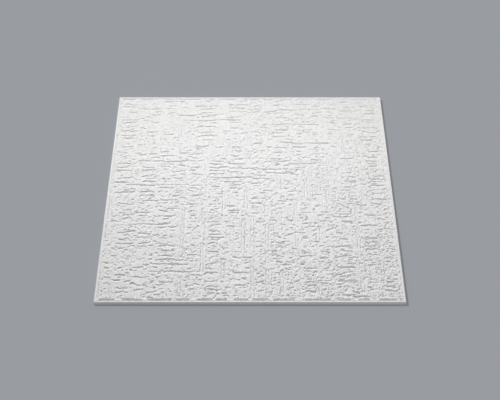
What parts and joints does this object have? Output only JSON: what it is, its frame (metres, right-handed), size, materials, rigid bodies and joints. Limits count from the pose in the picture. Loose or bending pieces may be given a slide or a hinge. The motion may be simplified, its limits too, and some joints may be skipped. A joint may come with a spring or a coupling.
{
  "type": "ceiling tile",
  "caption": "Square moulded foam ceiling tile with a flat back, a thin flush rim and a rough face of level creases and upright bars.",
  "frame": {"origin": "middle of the flat back, which is glued to the ceiling", "axes": "+Z out of the rough face, away from the back; +X along the creases; +Y along the bars"},
  "size_m": [0.5, 0.5, 0.006],
  "materials": {
    "white_foam": "matt white moulded polystyrene foam"
  },
  "bodies": {
    "root": {"tile": "white_foam"}
  },
  "joints": []
}
